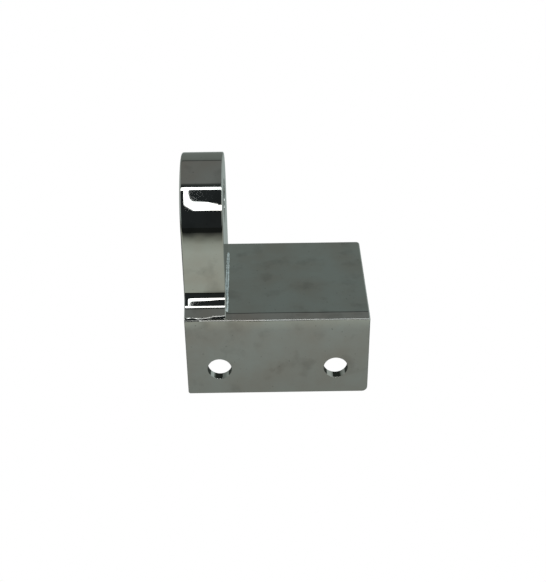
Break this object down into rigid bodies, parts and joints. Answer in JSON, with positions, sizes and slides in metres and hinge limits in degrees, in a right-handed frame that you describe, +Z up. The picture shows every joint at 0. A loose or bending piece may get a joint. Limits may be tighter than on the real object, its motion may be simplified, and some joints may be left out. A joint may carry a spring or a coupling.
{
  "type": "lugged angle bracket",
  "caption": "Chrome-plated angle bracket with two screw holes in its flange and an upright round-headed lug with a cross pin hole at the left end.",
  "frame": {"origin": "midway between the two screw holes, on the flange's rear seat face", "axes": "+X right along the angle, +Y back into the window frame, +Z up; the lug is at the -X end"},
  "size_m": [0.05, 0.04, 0.0634],
  "materials": {
    "chrome_plate": "polished",
    "chrome_bead": "satin"
  },
  "bodies": {
    "root": {"angle_plate": "chrome_plate", "pivot_lug": "chrome_plate", "braze_bead_inner": "chrome_bead", "braze_bead_rear": "chrome_bead"}
  },
  "joints": []
}
